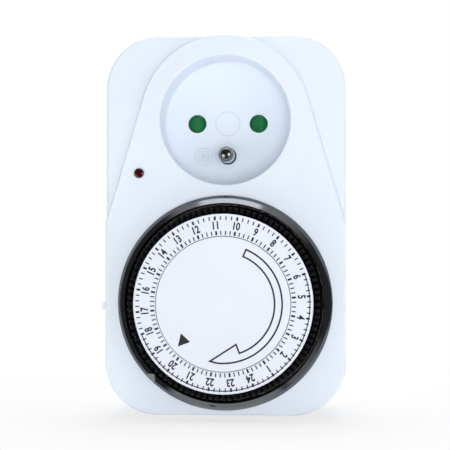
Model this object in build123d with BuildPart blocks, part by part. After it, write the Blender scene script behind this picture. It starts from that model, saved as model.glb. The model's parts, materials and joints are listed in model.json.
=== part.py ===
from build123d import *
import os
from math import cos, radians, sin, sqrt, tan

# A plug-in mechanical timer. The origin lies midway between the two plug pins, in the plug face.
# +X is right and +Z is up for someone facing the timer, and the front looks along -Y.
# Every "height" is a distance in front of the plug face, so height = -y.

# ---- Casing ------------------------------------------------------------------------------
casing_width = 72.0
casing_height = 114.0
casing_depth = 38.0  # rear face to raised front plate
casing_corner = 16.0
casing_top = 25.6  # above the socket axis
rear_shell_depth = 12.0
wall = 2.0
side_draft = 1.0  # degrees
front_edge_round = 0.8
rear_edge_round = 2.5
shoulder_drop = 2.75  # the front's corners lie this far behind the raised plate
plate_radius = 25.4  # raised plate around the socket
plate_flare = 16.5  # degrees from upright, where the plate widens below the socket
step_draft = 15.0  # degrees
lip_height = 1.5
lip_thickness = 1.0
lip_gap = 0.1

# ---- Plug --------------------------------------------------------------------------------
pole_spacing = 19.0
pole_radius = 2.4
pole_length = 19.0
pole_tip_round = 1.9
pole_flange_radius = 3.6
pole_flange_height = 1.0
pole_shank_radius = 2.2  # inside the plug face
pole_stem_radius = 2.0
live_tab_height = 8.0  # of the left pin's stem, above the plug face's inside
plug_radius = 18.5
plug_length = 17.0
plug_face_thickness = 4.0
plug_hollow_radius = 14.4
plug_groove_width = 5.4
plug_groove_depth = 2.6
plug_edge_round = 1.0
plug_rim_width = 1.5  # of the rim that holds the plug body in the rear cover
plug_rim_height = 1.0
plug_gap = 0.1
earth_offset = 10.0  # earth axis below the line of the poles
earth_sleeve_bore = 2.5
earth_sleeve_wall = 0.6
earth_sleeve_depth = 17.5
earth_strip_width = 7.0
earth_strip_thickness = 0.8
earth_clip_inset = 0.5  # of the side clips, from the plug's outside
earth_clip_gap = 0.3
earth_clip_bed = 0.1  # between a side clip and its bed

# ---- Socket ------------------------------------------------------------------------------
socket_radius = 19.5
socket_depth = 15.0
socket_rim_round = 0.6
socket_cove = 0.5  # where the wall of the socket meets its floor
floor_thickness = 2.5
well_flange_width = 1.5  # of the flange that is welded to the front cover
well_flange_height = 1.5
pole_hole_radius = 2.85
earth_pin_reach = 12.0  # above the socket floor
earth_root_radius = 2.6  # in the socket floor
earth_collar_radius = 3.3  # behind the socket floor
earth_collar_height = 0.8
earth_stem_radius = 2.0
earth_tip_round = 2.28
mark_height = 0.15
mark_line = 0.3
plain_ring_radius = 3.9
earth_mark_radius = 2.8
earth_mark_inner_radius = 1.85
earth_mark_place = (-7.6, -10.2)
earth_mark_stem = 1.1
earth_mark_bars = (1.05, 0.7, 0.35)  # half lengths, from the stem outwards
earth_mark_pitch = 0.5
pip_place = (14.2, -8.5)
pip_radius = 0.3
pip_depth = 0.4

# ---- Shutter and contacts ----------------------------------------------------------------
shutter_travel = 6.4
shutter_half_height = 4.2
shutter_thickness = 1.9
shutter_gap = 0.2
shutter_margin = 0.65  # past the edge of a pole hole
shutter_rail = 1.0
shutter_ramp_drop = 1.2
ridge_shift = 1.0
ridge_half = 0.2
lug_left = -3.0
lug_thickness = 1.2
guide_thickness = 2.6
guide_rail = 1.5
guide_hole_gap = 0.25
spring_channel_wall = 0.5
spring_wire = 0.25
shutter_spring_radius = 0.9
shutter_spring_turns = 12
strip_thickness = 0.6
clip_width = 5.6
clip_gap = 0.05
strip_clearance = 0.4

# ---- Dial --------------------------------------------------------------------------------
dial_side_margin = 3.9  # casing's side to the bezel ring
dial_foot_margin = 1.5  # casing's bottom to the bezel ring
dial_socket_margin = 3.2  # socket recess to the bezel ring
dial_rise = 10.5  # dial top in front of the raised plate
number_band = 6.65  # width of the number ring
disc_thickness = 1.5
disc_gap = 0.2
disc_edge = 0.15
disc_boss_wall = 2.0
dial_edge = 0.3
skirt_gap = 0.1
drum_wall = 2.0
skirt_length = 3.0
skirt_thickness = 1.2
post_radius = 3.0
post_spigot_radius = 2.5
post_collar_height = 0.8
post_collar_width = 1.4
running_gap = 0.05
hub_wall = 1.6
flange_gap = 0.45  # inside the bezel ring's bore
flange_thickness = 2.0
flange_drop = 1.2  # behind the bezel ring
bezel_tappet_gap = 1.3
bezel_gentle_width = 1.55  # of the inner facet
bezel_gentle_fall = 1.3
bezel_steep_width = 0.9  # of the outer facet
bezel_steep_fall = 1.2
bezel_lip = 0.8  # height of the ring's outer side
bezel_overlap = 0.8  # past the front cover's opening
bezel_edge = 0.15
bezel_seat = 3.5  # depth of the ring inside the front plate
bezel_gap = 0.1
index_angle = -134.6  # direction of the index mark from the dial axis
index_width = 2.9
index_point = 1.2
index_length = 1.85
index_proud = 0.05  # of the mark's flat face, in front of the ring's crest
bezel_slot_angle = -96.5
bezel_slot_length = 1.5
bezel_slot_width = 0.5
bezel_slot_offset = 1.1  # outside the bore

# ---- Tappets -----------------------------------------------------------------------------
tappets = 96
tappet_quarters = 4
tappet_depth = 1.75  # along the dial's radius
tappet_width = 1.35
tappet_gap = 0.2
tappet_travel = 2.5
tappet_tip_drop = 1.5  # below the dial's top
tappet_point = 0.8
tappet_taper = 25.0  # degrees
tappet_room = 0.3  # between a pressed tappet's shoulder and the flange
tail_depth = 1.2
tail_width = 0.9
tail_drop = 0.8  # below the flange that guides the tappets
slot_gap = 0.12
hour_ten_angle = 80.4  # of the hour 10, counter-clockwise from +X

# ---- Gears -------------------------------------------------------------------------------
gear_module = 0.5
pressure_angle = 20.0
dedendum = 1.2  # in modules
tooth_tip_relief = 0.1  # in modules
drum_teeth = 72
idler_wheel_teeth = 36
pinion_teeth = 12
tooth_backlash = 0.1
train_angle = 45.0  # direction of the gear train from the dial axis
drum_gear_height = 3.3
drum_gear_wall = 3.5
wheel_height = 2.0
wheel_gap = 0.2
idler_boss_height = 2.1
idler_boss_wall = 1.5
idler_end_gap = 0.7  # below the drum's flange
idler_shaft_stub = 0.4  # above the idler gear
idler_shaft_radius = 1.0

# ---- Motor and mechanism plate -----------------------------------------------------------
mechanism_thickness = 2.0
mechanism_drop = 9.3  # plate front below the drum's flange
mechanism_top = -24.5
mechanism_screw_inset = 3.5  # of the upper screws, below the plate's top edge
mechanism_margin = 0.5
motor_side_margin = 15.0  # casing's side to the motor's screws
motor_ear_offset = 3.0  # of the motor's screws, outside the can
motor_steel = 0.8
motor_lid_thickness = 1.8
motor_floor_gap = 2.0
motor_drop = 1.2  # can's axis below the dial's axis
coil_inner_radius = 9.5
coil_gap = 0.5
coil_end_gap = 4.5  # behind the lid, for the rotor's gears
motor_shaft_radius = 1.2
motor_shaft_depth = 3.0  # behind the lid
motor_shaft_gap = 0.8
motor_ear_radius = 4.0
motor_boss_radius = 2.6
motor_boss_height = 4.0
pinion_overlap = 0.5

# ---- Switch ------------------------------------------------------------------------------
switch_rise = 14.72227  # of the follower's nose above the casing's bottom
lever_width = 3.0
switch_inset = 9.0  # lever's pivot from the casing's side
lever_half_thickness = 1.0
arm_half = 1.3  # half the thickness of the arm that moves the leaf
nose_rise = 2.2  # of the nose's tip above the pivot
nose_half = 0.9
nose_tip_half = 0.5
lever_hub_wall = 0.9
arm_window_left = 3.6
arm_window_right = 2.1
arm_window_gap = 0.4
lever_reach = 10.6  # length of the arm that moves the leaf
lever_swing = 14.0  # degrees
lever_pin_radius = 1.0
nose_gap = 0.4
lever_side_gap = 0.25
ear_thickness = 1.4
ear_half = 1.8
spring_room = 2.4
spring_end_gap = 0.35
lever_spring_turns = 4
leaf_thickness = 0.35
leaf_width = 3.0
leaf_gap = 0.275
leaf_anchor_rise = 9.3  # above the dial axis
leaf_overlap = 0.6  # past the end of the lever's arm
leaf_margin = 0.3  # past the side of the lever
leaf_ratio = 0.4  # of the leaf's turn to the lever's
anchor_overlap = 0.5
live_tail_inset = 12.0  # from the casing's left side
live_tail_width = 4.0
rivet_offset = 4.0  # above the lever's nose
contact_gap = 0.1  # left between the rivets when the switch is closed
feed_clearance = 2.0  # of the live feed above the contact strips
feed_width = 5.0
feed_riser_offset = 4.6  # below the live pin
feed_arm_width = 3.0
feed_end_offset = 5.5  # above the rivet
feed_leaf_gap = 0.4
rivet_radius = 1.4
rivet_height = 0.5

# ---- Override slider ---------------------------------------------------------------------
knob_height = 2.1
knob_width = 5.0
knob_reach = 2.1  # outside the casing
knob_round = 0.35
slider_travel = 2.8
slider_gap = 0.3
slider_depth = 12.0  # behind the raised plate
slider_plate = 0.8
slider_arm = 1.4
slider_cover = 0.6  # of the inner plate past the slot
slider_wall_gap = 0.15
slider_notch_depth = 3.2
slider_notch_half = 7.3
finger_gap = 0.3
finger_width = 3.0

# ---- Indicator ---------------------------------------------------------------------------
lens_inset = 10.1  # from the casing's left side
lens_z = -15.95
lens_radius = 1.5
lens_rise = 0.8
lens_gap = 0.05
lens_flange_radius = 2.2
lens_flange_height = 0.9
lamp_tube_radius = 2.3
lamp_tube_wall = 0.9
lamp_radius = 1.9
lamp_length = 10.0
lamp_gap = 0.5  # behind the lens
resistor_radius = 1.2
resistor_length = 7.0
resistor_inset = 16.0  # from the casing's left side
resistor_z = -24.5
resistor_gap = 1.8  # behind the mechanism plate

# ---- Fasteners ---------------------------------------------------------------------------
screw_radius = 1.45
screw_head_radius = 2.75
screw_head_height = 1.8
cross_length = 3.0
cross_width = 0.6
cross_depth = 1.0
screw_gap = 0.05
boss_radius = 3.0
plate_boss_radius = 2.5
boss_gap = 0.4
post_shell = 4.0
head_recess = 4.0
head_gap = 0.25
guide_screw_bite = 1.7  # into the socket floor
housing_screw_length = 22.0
plate_screw_length = 10.0
motor_screw_length = 7.0
guide_screw_place = (13.6, -9.0)
upper_screw_inset = (12.0, 9.6)  # from the casing's side and top
lower_screw_inset = (9.0, 8.4)  # from the casing's side and bottom
upper_plate_screw_inset = 7.5  # from the casing's side
lower_plate_screw_inset = (5.2, 21.9)  # from the casing's side and bottom

# ---- Heights above the plug face ---------------------------------------------------------
rear_h = plug_length
joint_h = rear_h + rear_shell_depth
front_h = rear_h + casing_depth
shoulder_h = front_h - shoulder_drop
inner_rear_h = rear_h + wall
inner_front_h = shoulder_h - wall
floor_h = front_h - socket_depth
floor_back_h = floor_h - floor_thickness
shutter_top_h = floor_back_h - shutter_gap
shutter_back_h = shutter_top_h - shutter_thickness
guide_top_h = shutter_back_h - shutter_gap
guide_back_h = guide_top_h - guide_thickness
strip_h = inner_rear_h + strip_clearance
dial_top_h = front_h + dial_rise
bezel_back_h = front_h - bezel_seat
flange_top_h = bezel_back_h - flange_drop
flange_back_h = flange_top_h - flange_thickness
drum_gear_h = flange_back_h - drum_gear_height
mechanism_h = flange_back_h - mechanism_drop
mechanism_back_h = mechanism_h - mechanism_thickness
motor_top_h = mechanism_back_h
motor_lid_h = motor_top_h - motor_lid_thickness
motor_floor_h = inner_rear_h + motor_floor_gap
slider_h = front_h - slider_depth

# ---- Places in the front view ------------------------------------------------------------
side_x = casing_width / 2
bottom_z = casing_top - casing_height
casing_mid_z = casing_top - casing_height / 2
pole_x = pole_spacing / 2
earth_spot = (0, -earth_offset)
pole_spots = [(-pole_x, 0), (pole_x, 0)]

# the dial is as large as the casing's width and the room below the socket allow
dial_room = -bottom_z - socket_radius - dial_socket_margin - dial_foot_margin
bezel_radius = min(side_x - dial_side_margin, dial_room / 2)
bezel_break_radius = bezel_radius - bezel_steep_width
bezel_bore = bezel_break_radius - bezel_gentle_width
bezel_neck_radius = bezel_radius - bezel_overlap
flange_radius = bezel_bore - flange_gap
dial_radius = bezel_bore - bezel_tappet_gap - tappet_depth - tappet_gap
centre_disc_radius = dial_radius - number_band
dial_z = bottom_z + dial_foot_margin + bezel_radius
dial_centre = (0, dial_z)

# the follower's nose is behind the tappets, to the lower left of the dial's axis
nose_radius = dial_radius + tappet_gap + tappet_depth / 2
nose_z = bottom_z + switch_rise
nose_x = -sqrt(nose_radius ** 2 - (nose_z - dial_z) ** 2)

live_tail_x = live_tail_inset - side_x
lens_place = (lens_inset - side_x, lens_z)
motor_ear_reach = side_x - motor_side_margin
motor_radius = motor_ear_reach - motor_ear_offset


def both_sides(x, z):
    """The same place on the left and on the right."""
    return [(-x, z), (x, z)]


guide_screw_spots = both_sides(*guide_screw_place)
housing_screw_spots = [*both_sides(side_x - upper_screw_inset[0], casing_top - upper_screw_inset[1]),
                       *both_sides(side_x - lower_screw_inset[0], bottom_z + lower_screw_inset[1])]
plate_screw_spots = [*both_sides(side_x - upper_plate_screw_inset, mechanism_top - mechanism_screw_inset),
                     *both_sides(side_x - lower_plate_screw_inset[0],
                                 bottom_z + lower_plate_screw_inset[1])]


def level(height):
    """The plane parallel to the front, and facing it, at a height above the plug face."""
    return Plane.XZ.offset(height)


def along(degrees, distance, start=(0, 0)):
    """The point at a distance and direction from a start, in the front view."""
    return (start[0] + distance * cos(radians(degrees)), start[1] + distance * sin(radians(degrees)))


def disc(start, end, radius, at=(0, 0), mode=Mode.ADD):
    """A round prism between two heights."""
    with BuildSketch(level(start)) as profile:
        with Locations(at):
            Circle(radius)
    extrude(profile.sketch, amount=end - start, mode=mode)


def ring(start, end, outer, inner, at=(0, 0), mode=Mode.ADD):
    """A round tube between two heights."""
    with BuildSketch(level(start)) as profile:
        with Locations(at):
            Circle(outer)
            Circle(inner, mode=Mode.SUBTRACT)
    extrude(profile.sketch, amount=end - start, mode=mode)


def bar(start, end, left, right, low, high, mode=Mode.ADD):
    """A rectangular prism between two heights."""
    with BuildSketch(level(start)) as profile:
        with Locations(((left + right) / 2, (low + high) / 2)):
            Rectangle(right - left, high - low)
    extrude(profile.sketch, amount=end - start, mode=mode)


def gear(start, end, teeth, at, phase):
    """A spur gear between two heights, with a tooth centred on the phase angle."""
    pitch_radius = gear_module * teeth / 2
    root_radius = pitch_radius - dedendum * gear_module
    tooth_height = (1 + dedendum - tooth_tip_relief) * gear_module
    half_pitch = radians(180) * gear_module / 2
    root_width = half_pitch - tooth_backlash + 2 * dedendum * gear_module * tan(radians(pressure_angle))
    sunk = 0.05
    with BuildSketch(level(start)) as profile:
        with Locations(at):
            Circle(root_radius)
            with PolarLocations(root_radius - sunk, teeth, start_angle=phase):
                Trapezoid(root_width, tooth_height + sunk, 90 - pressure_angle, rotation=-90,
                          align=(Align.CENTER, Align.MIN))
    extrude(profile.sketch, amount=end - start)


def casing_outline(height, inset=0.0):
    """The casing's outer outline at a height, drawn inset from the wall's outer face."""
    grown = (front_h - max(height, joint_h)) * tan(radians(side_draft)) - inset
    with BuildSketch(level(height)) as outline:
        with Locations((0, casing_mid_z)):
            RectangleRounded(casing_width + 2 * grown, casing_height + 2 * grown,
                             casing_corner + grown)
    return outline.sketch


def plate_outline(height):
    """The raised plate at a height: a circle around the socket that flares out downwards."""
    radius = plate_radius + (front_h - height) * tan(radians(step_draft))
    flare = radians(plate_flare)
    near_x, near_z = radius * cos(flare), radius * sin(flare)
    reach = 2 * casing_height
    far_x, far_z = near_x + reach * sin(flare), near_z - reach * cos(flare)
    with BuildSketch(level(height)) as outline:
        Circle(radius)
        with BuildLine():
            Polyline((-near_x, near_z), (-far_x, far_z), (far_x, far_z), (near_x, near_z), close=True)
        make_face()
    return outline.sketch


def save(piece, name):
    """Label a finished piece and write it as a STEP file."""
    piece.part.label = name
    export_step(piece.part, f"parts/{name}.step")


os.makedirs("parts", exist_ok=True)

# ---- Front cover -------------------------------------------------------------------------
with BuildPart() as raised_plate:
    extrude(casing_outline(joint_h), amount=front_h - joint_h, taper=side_draft)
    fillet(raised_plate.faces().sort_by(Axis.Y)[0].edges(), front_edge_round)
    plate_root_h = shoulder_h - wall
    extrude(plate_outline(plate_root_h), amount=front_h - plate_root_h, taper=step_draft,
            mode=Mode.INTERSECT)

knob_half = knob_height / 2
slot_low = dial_z - slider_travel / 2 - knob_half - slider_gap
slot_high = dial_z + slider_travel / 2 + knob_half + slider_gap
slot_half_width = knob_width / 2 + slider_gap

with BuildPart() as front_cover:
    extrude(casing_outline(joint_h), amount=shoulder_h - joint_h, taper=side_draft)
    fillet(front_cover.faces().sort_by(Axis.Y)[0].edges(), front_edge_round)
    add(raised_plate.part)
    # inside of the shell
    extrude(casing_outline(joint_h, wall), amount=inner_front_h - joint_h, taper=side_draft,
            mode=Mode.SUBTRACT)
    # screw bosses and the lamp's tube
    for spot in housing_screw_spots:
        disc(joint_h + wall, inner_front_h + wall / 2, boss_radius, spot)
    for spot in plate_screw_spots:
        disc(mechanism_h, inner_front_h + wall / 2, plate_boss_radius, spot)
    ring(mechanism_h + wall, inner_front_h + wall / 4, lamp_tube_radius + lamp_tube_wall, lamp_tube_radius,
         lens_place)
    # openings through the front
    disc(inner_front_h - wall, front_h + 1, socket_radius, mode=Mode.SUBTRACT)
    disc(inner_front_h - wall, front_h + 1, bezel_neck_radius + bezel_gap, dial_centre, Mode.SUBTRACT)
    disc(inner_front_h - wall, front_h + 1, lens_radius + lens_gap, lens_place, Mode.SUBTRACT)
    for spot in housing_screw_spots:
        disc(joint_h, inner_front_h - wall, screw_radius + screw_gap, spot, Mode.SUBTRACT)
    for spot in plate_screw_spots:
        disc(mechanism_h, inner_front_h - wall, screw_radius + screw_gap, spot, Mode.SUBTRACT)
    # slot for the override knob, through the left wall
    bar(slider_h - slot_half_width, slider_h + slot_half_width, -casing_width, wall - side_x, slot_low,
        slot_high, Mode.SUBTRACT)
    rim = front_cover.edges().filter_by(GeomType.CIRCLE).filter_by(
        lambda edge: abs(edge.radius - socket_radius) < 0.001)
    fillet(rim.sort_by(Axis.Y)[0], socket_rim_round)
save(front_cover, "front_cover")

# ---- Socket well, welded behind the front cover's opening, and its floor -----------------------
well_radius = socket_radius + wall
floor_radius = socket_radius - socket_cove

with BuildPart() as socket_recess:
    disc(floor_h, inner_front_h, socket_radius)
    fillet(socket_recess.faces().sort_by(Axis.Y)[-1].edges(), socket_cove)

with BuildPart() as socket_well:
    disc(floor_back_h, inner_front_h, well_radius)
    disc(inner_front_h - well_flange_height, inner_front_h, well_radius + well_flange_width)
    add(socket_recess.part, mode=Mode.SUBTRACT)
    disc(floor_back_h, floor_h, floor_radius, mode=Mode.SUBTRACT)
save(socket_well, "socket_well")

with BuildPart() as socket_floor:
    disc(floor_back_h, floor_h, floor_radius)
    for spot in pole_spots:
        disc(floor_back_h, floor_h, pole_hole_radius, spot, Mode.SUBTRACT)
    disc(floor_back_h, floor_h, earth_root_radius + screw_gap, earth_spot, Mode.SUBTRACT)
    for spot in guide_screw_spots:
        disc(floor_back_h, floor_back_h + guide_screw_bite, screw_radius + screw_gap, spot,
             Mode.SUBTRACT)
    disc(floor_h - pip_depth, floor_h, pip_radius, pip_place, Mode.SUBTRACT)
    # marks moulded on the floor
    ring(floor_h, floor_h + mark_height, plain_ring_radius, plain_ring_radius - mark_line)
    for radius in (earth_mark_radius, earth_mark_inner_radius):
        ring(floor_h, floor_h + mark_height, radius, radius - mark_line, earth_mark_place)
    mark_x, mark_z = earth_mark_place
    bar(floor_h, floor_h + mark_height, mark_x - mark_line / 2, mark_x + mark_line / 2,
        mark_z - earth_mark_stem, mark_z)
    for step, half_bar in enumerate(earth_mark_bars):
        low = mark_z - mark_line / 2 + step * earth_mark_pitch
        bar(floor_h, floor_h + mark_height, mark_x - half_bar, mark_x + half_bar, low, low + mark_line)
save(socket_floor, "socket_floor")

# ---- Rear cover --------------------------------------------------------------------------
clip_half = earth_strip_width / 2
clip_room = clip_half + earth_clip_gap
strap_outer = plug_radius - earth_clip_inset
strap_inner = strap_outer - earth_strip_thickness
sleeve_outer = earth_sleeve_bore + earth_sleeve_wall
plug_rim_radius = plug_radius + plug_rim_width

with BuildPart() as rear_cover:
    extrude(casing_outline(rear_h), amount=joint_h - rear_h)
    fillet(rear_cover.faces().sort_by(Axis.Y)[-1].edges(), rear_edge_round)
    # hollow of the shell, and the lip that enters the front cover
    extrude(casing_outline(inner_rear_h, wall), amount=joint_h - inner_rear_h, mode=Mode.SUBTRACT)
    lip_root_h = joint_h - 2 * lip_height
    extrude(casing_outline(lip_root_h, wall), amount=2 * lip_height)
    extrude(casing_outline(joint_h, wall + lip_gap), amount=lip_height)
    extrude(casing_outline(lip_root_h, wall + lip_gap + lip_thickness),
            amount=joint_h + lip_height - lip_root_h, mode=Mode.SUBTRACT)
    # screw posts
    for spot in housing_screw_spots:
        disc(rear_h + wall / 2, joint_h + wall - lip_gap, post_shell, spot)
    for spot in housing_screw_spots:
        disc(rear_h - 1, rear_h + head_recess, screw_head_radius + head_gap, spot, Mode.SUBTRACT)
        disc(rear_h, joint_h + wall, screw_radius + lip_gap, spot, Mode.SUBTRACT)
    # opening for the plug body, with a seat for its rim
    disc(rear_h, inner_rear_h, plug_radius + plug_gap, mode=Mode.SUBTRACT)
    disc(inner_rear_h - plug_rim_height, inner_rear_h, plug_rim_radius + plug_gap, mode=Mode.SUBTRACT)
save(rear_cover, "rear_cover")

with BuildPart() as plug_body:
    disc(0, inner_rear_h, plug_radius)
    fillet(plug_body.faces().sort_by(Axis.Y)[-1].edges(), plug_edge_round)
    disc(inner_rear_h - plug_rim_height, inner_rear_h, plug_rim_radius)
    disc(plug_face_thickness, inner_rear_h, plug_hollow_radius, mode=Mode.SUBTRACT)
    # holes for the plug pins and the earth sleeve
    for spot in pole_spots:
        disc(0, plug_face_thickness, pole_shank_radius + screw_gap, spot, Mode.SUBTRACT)
    disc(0, plug_face_thickness, sleeve_outer + screw_gap, earth_spot, Mode.SUBTRACT)
    # side grooves, and beds and slots for the earth clips
    for side in (-1, 1):
        groove_x = sorted((side * (plug_radius - plug_groove_depth), side * (plug_radius + 1)))
        bar(0, rear_h - wall, *groove_x, -plug_groove_width / 2, plug_groove_width / 2, Mode.SUBTRACT)
        bed_z = sorted((side * (strap_inner - earth_clip_bed), side * (plug_radius + 1)))
        bar(0, rear_h, -clip_room, clip_room, *bed_z, Mode.SUBTRACT)
        slot_z = sorted((side * (strap_inner - earth_clip_bed), side * (strap_outer + earth_clip_bed)))
        bar(rear_h, inner_rear_h, -clip_room, clip_room, *slot_z, Mode.SUBTRACT)
save(plug_body, "plug_body")

# ---- Plug pins and earth -----------------------------------------------------------------
tab_h = plug_face_thickness + live_tab_height
strap_top_h = strip_h + earth_strip_thickness

for side, name, stem_top_h in ((-1, "plug_pin_left", tab_h), (1, "plug_pin_right", strip_h)):
    with BuildPart() as plug_pin:
        spot = (side * pole_x, 0)
        disc(-pole_length, 0, pole_radius, spot)
        fillet(plug_pin.faces().sort_by(Axis.Y)[-1].edges(), pole_tip_round)
        disc(0, plug_face_thickness, pole_shank_radius, spot)
        disc(plug_face_thickness, plug_face_thickness + pole_flange_height, pole_flange_radius, spot)
        disc(plug_face_thickness + pole_flange_height, stem_top_h, pole_stem_radius, spot)
    save(plug_pin, name)

with BuildPart() as earth_sleeve:
    ring(0, earth_sleeve_depth, sleeve_outer, earth_sleeve_bore, earth_spot)
    disc(earth_sleeve_depth, strip_h, sleeve_outer, earth_spot)
save(earth_sleeve, "earth_sleeve")

with BuildPart() as earth_strap:
    bar(strip_h, strap_top_h, -clip_half, clip_half, -strap_outer, strap_outer)
    for side in (-1, 1):
        clip_z = sorted((side * strap_inner, side * strap_outer))
        bar(pole_radius, strap_top_h, -clip_half, clip_half, *clip_z)
save(earth_strap, "earth_strap")

with BuildPart() as earth_pin:
    disc(floor_h, floor_h + earth_pin_reach, pole_radius, earth_spot)
    fillet(earth_pin.faces().sort_by(Axis.Y)[0].edges(), earth_tip_round)
    disc(floor_back_h, floor_h, earth_root_radius, earth_spot)
    disc(floor_back_h - earth_collar_height, floor_back_h, earth_collar_radius, earth_spot)
    disc(strap_top_h, floor_back_h - earth_collar_height, earth_stem_radius, earth_spot)
save(earth_pin, "earth_pin")

# ---- Socket contacts and live feed -------------------------------------------------------
clip_inner = pole_radius + clip_gap
clip_outer = clip_inner + strip_thickness
strip_top_h = strip_h + strip_thickness
clip_tip_h = guide_back_h - strip_clearance
tail_left = live_tail_x - live_tail_width / 2
tail_right = live_tail_x + live_tail_width / 2

tail_end_h = flange_back_h - tail_drop
nose_top_h = tail_end_h - tappet_travel - nose_gap
pivot_x = switch_inset - side_x
lever_arm = nose_x - pivot_x
pivot_h = nose_top_h - nose_rise
leaf_back_h = pivot_h - lever_reach - leaf_overlap
leaf_top_h = leaf_back_h + leaf_width
leaf_face_x = pivot_x - arm_half - leaf_gap
leaf_x = leaf_face_x - leaf_thickness / 2
leaf_anchor_z = dial_z + leaf_anchor_rise
anchor_low = leaf_anchor_z - anchor_overlap
anchor_high = anchor_low + live_tail_width
leaf_end_z = nose_z - lever_width / 2 - leaf_margin


def spring_clip(x):
    """Two upright spring leaves, above and below a pole's axis, on a common base."""
    left, right = x - clip_width / 2, x + clip_width / 2
    bar(strip_h, strip_top_h, left, right, -clip_outer, clip_outer)
    bar(strip_h, clip_tip_h, left, right, clip_inner, clip_outer)
    bar(strip_h, clip_tip_h, left, right, -clip_outer, -clip_inner)


with BuildPart() as neutral_contact:
    spring_clip(pole_x)
save(neutral_contact, "neutral_contact")

with BuildPart() as live_contact:
    spring_clip(-pole_x)
    bar(strip_h, strip_top_h, tail_left, -pole_x, -live_tail_width / 2, live_tail_width / 2)
    bar(strip_h, strip_top_h, tail_left, tail_right, anchor_low, live_tail_width / 2)
    bar(strip_h, strip_top_h, leaf_face_x + leaf_gap, tail_right, anchor_low, anchor_high)
    bar(strip_h, leaf_top_h, leaf_face_x + leaf_gap, leaf_face_x + leaf_gap + strip_thickness,
        anchor_low, anchor_high)
save(live_contact, "live_contact")

leaf_swing = leaf_ratio * lever_swing
rivet_z = nose_z + rivet_offset
rivet_drop = leaf_anchor_z - rivet_z
closed_x = leaf_x - (rivet_drop + rivet_radius) * sin(radians(leaf_swing)) - rivet_height
fixed_face_x = closed_x - leaf_thickness / 2 - contact_gap
feed_h = strip_top_h + feed_clearance
feed_x = fixed_face_x - rivet_height
feed_tab_half = feed_width / 2
feed_riser_z = -(pole_radius + feed_riser_offset)
feed_low = rivet_z + feed_end_offset
# the closed leaf passes right of the feed's riser
leaf_reach = (leaf_anchor_z - feed_low + strip_thickness) * sin(radians(leaf_swing))
riser_right = leaf_x - leaf_thickness / 2 - leaf_reach - feed_leaf_gap

with BuildPart() as live_feed:
    bar(tab_h, tab_h + strip_thickness, -pole_x - feed_tab_half, -pole_x + feed_tab_half,
        feed_riser_z - strip_thickness, feed_tab_half)
    bar(tab_h, feed_h + strip_thickness, -pole_x - feed_tab_half, -pole_x + feed_tab_half,
        feed_riser_z - strip_thickness, feed_riser_z)
    bar(feed_h, feed_h + strip_thickness, feed_x - strip_thickness, -pole_x + feed_tab_half,
        feed_riser_z - feed_width, feed_riser_z)
    bar(feed_h, feed_h + strip_thickness, feed_x - strip_thickness, feed_x + feed_arm_width,
        feed_low - strip_thickness, feed_riser_z)
    bar(feed_h, leaf_top_h, feed_x - strip_thickness, riser_right, feed_low - strip_thickness, feed_low)
    bar(leaf_back_h, leaf_top_h, feed_x - strip_thickness, feed_x, leaf_end_z, feed_low)
save(live_feed, "live_feed")


def stud(left, right, z, height, radius):
    """A round prism that runs from left to right."""
    with BuildSketch(Plane.YZ.offset(left)) as profile:
        with Locations((-height, z)):
            Circle(radius)
    extrude(profile.sketch, amount=right - left)


with BuildPart() as fixed_contact:
    stud(feed_x, fixed_face_x, rivet_z, leaf_back_h + leaf_width / 2, rivet_radius)
save(fixed_contact, "fixed_contact")

with BuildPart() as moving_contact:
    moving_face_x = leaf_x - leaf_thickness / 2
    stud(moving_face_x - rivet_height, moving_face_x, rivet_z, leaf_back_h + leaf_width / 2, rivet_radius)
save(moving_contact, "moving_contact")

with BuildPart() as contact_leaf:
    bar(leaf_back_h, leaf_top_h, leaf_x - leaf_thickness / 2, leaf_x + leaf_thickness / 2,
        leaf_end_z, leaf_anchor_z + anchor_overlap / 5)
save(contact_leaf, "contact_leaf")

# ---- Shutter, its spring and its guide ---------------------------------------------------
cover_half = pole_hole_radius + shutter_margin
shutter_end = pole_x + cover_half
guide_hole_radius = pole_hole_radius + guide_hole_gap
window_left = pole_x - guide_hole_radius - shutter_travel
guide_end = shutter_end + shutter_travel + slider_gap
track = shutter_half_height + shutter_gap
lug_right = lug_left + lug_thickness
channel_low = track + spring_channel_wall
spring_z = channel_low + shutter_spring_radius + spring_wire
lug_top = spring_z + shutter_spring_radius - spring_wire / 2
channel_high = spring_z + shutter_spring_radius + spring_wire
shutter_mid_h = (shutter_back_h + shutter_top_h) / 2

with BuildPart() as safety_shutter:
    bar(shutter_back_h, shutter_top_h, -shutter_end, shutter_end, -shutter_half_height,
        shutter_half_height)
    window_half = shutter_half_height - shutter_rail
    bar(shutter_back_h, shutter_top_h, window_left, pole_x - cover_half, -window_half, window_half,
        Mode.SUBTRACT)
    bar(shutter_back_h, shutter_top_h, lug_left, lug_right, shutter_half_height, lug_top)
    # a ridge behind each hole, right of its centre, with a ramp falling away on both sides
    for x in (-pole_x, pole_x):
        for side in (-1, 1):
            ridge_x = x + ridge_shift + side * ridge_half
            with BuildSketch(Plane.XY.offset(-shutter_half_height)) as ramp:
                with BuildLine():
                    Polyline((ridge_x, -shutter_top_h), (x + side * cover_half, -shutter_top_h),
                             (x + side * cover_half, shutter_ramp_drop - shutter_top_h), close=True)
                make_face()
            extrude(ramp.sketch, amount=2 * shutter_half_height, mode=Mode.SUBTRACT)
save(safety_shutter, "safety_shutter")

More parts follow.
